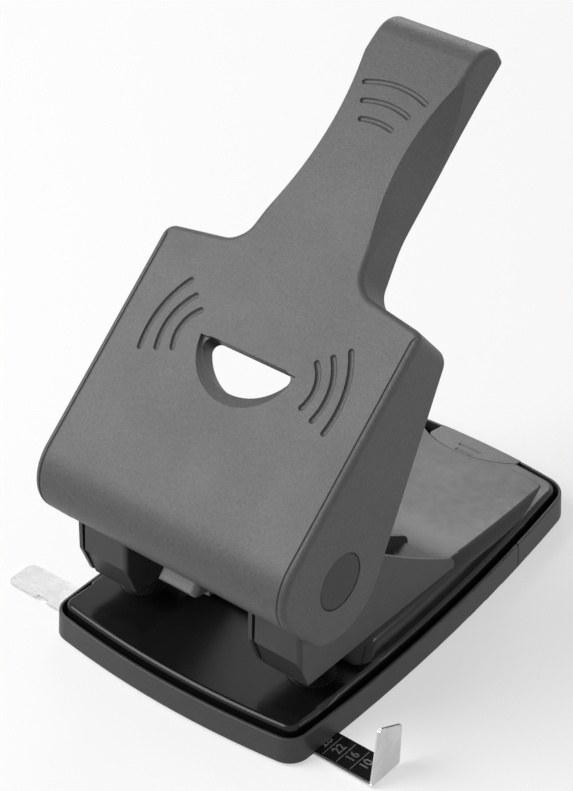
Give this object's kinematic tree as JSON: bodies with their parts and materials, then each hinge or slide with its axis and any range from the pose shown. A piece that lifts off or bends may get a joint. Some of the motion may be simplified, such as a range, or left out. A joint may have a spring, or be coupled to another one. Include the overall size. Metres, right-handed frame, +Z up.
{
  "type": "two-hole paper punch",
  "caption": "Heavy-duty desk paper punch: long moulded lever over steel punch heads, a pressed steel bed, a chip tray and a sliding paper guide.",
  "frame": {"origin": "on the table, at the bottom of the middle foot, under the centre of the base's outline", "axes": "+X to the right, +Y to the back, +Z up; the paper goes in from the front, along +Y"},
  "size_m": [0.175, 0.1925, 0.2078],
  "materials": {
    "black_plastic": "satin black",
    "tab_plastic": "fine grain, grey",
    "lever_plastic": "fine grain, charcoal",
    "cap_plastic": "fine grain, dark grey",
    "slider_plastic": "satin grey",
    "black_gloss_paint": "gloss black",
    "dark_paint": "satin dark grey",
    "hardened_steel": "ground",
    "blued_steel": "blued, satin",
    "zinc_steel": "zinc plated",
    "strip_steel": "bright",
    "foot_rubber": "matt black"
  },
  "bodies": {
    "base": {"tray": "black_plastic", "door_pins": "zinc_steel", "rubber_feet": "foot_rubber", "tray_screws": "zinc_steel", "base_plate": "black_gloss_paint", "pivot_shaft": "zinc_steel", "shaft_clips": "hardened_steel", "cross_rail": "dark_paint", "guide_retainers": "black_plastic", "die_left": "blued_steel", "bracket_left": "dark_paint", "bracket_rivets_left": "dark_paint", "pin_guide_left": "black_plastic", "return_spring_left": "hardened_steel", "die_right": "blued_steel", "bracket_right": "dark_paint", "bracket_rivets_right": "dark_paint", "pin_guide_right": "black_plastic", "return_spring_right": "hardened_steel"},
    "lever": {"lever_cover": "lever_plastic", "lever_yoke": "zinc_steel", "yoke_screws": "zinc_steel", "pivot_cap_left": "cap_plastic", "pivot_cap_right": "cap_plastic"},
    "tray_door": {"tray_door": "black_plastic", "door_tab": "tab_plastic"},
    "paper_guide": {"paper_guide": "strip_steel"},
    "lock_slider": {"lock_slider": "slider_plastic"},
    "punch_left": {"carriage_left": "zinc_steel", "punch_pin_left": "hardened_steel", "pin_collar_left": "hardened_steel"},
    "punch_right": {"carriage_right": "zinc_steel", "punch_pin_right": "hardened_steel", "pin_collar_right": "hardened_steel"}
  },
  "joints": [
    {"name": "lever_hinge", "type": "hinge", "parent": "base", "child": "lever", "pos_m": [0, -0.066, 0.068], "axis": [-1, 0, 0], "range_deg": [0, 37]},
    {"name": "tray_door_hinge", "type": "hinge", "parent": "base", "child": "tray_door", "pos_m": [0, 0.0512, 0.0022], "axis": [-1, 0, 0], "range_deg": [0, 60]},
    {"name": "paper_guide_slide", "type": "slide", "parent": "base", "child": "paper_guide", "axis": [1, 0, 0], "range_m": [-0.022, 0.07]},
    {"name": "lock_slide", "type": "slide", "parent": "base", "child": "lock_slider", "axis": [1, 0, 0], "range_m": [0, 0.01]},
    {"name": "punch_left_slide", "type": "slide", "parent": "base", "child": "punch_left", "axis": [0, 0, -1], "range_m": [0, 0.012], "stiffness_N_per_m": 600, "springref_m": -0.02, "deforming": ["return_spring_left"]},
    {"name": "punch_right_slide", "type": "slide", "parent": "base", "child": "punch_right", "axis": [0, 0, -1], "range_m": [0, 0.012], "stiffness_N_per_m": 600, "springref_m": -0.02, "deforming": ["return_spring_right"]}
  ],
  "couplings": [
    {"joint": "punch_left_slide", "follows": "lever_hinge", "m_per_rad": 0.0185},
    {"joint": "punch_right_slide", "follows": "lever_hinge", "m_per_rad": 0.0185}
  ]
}
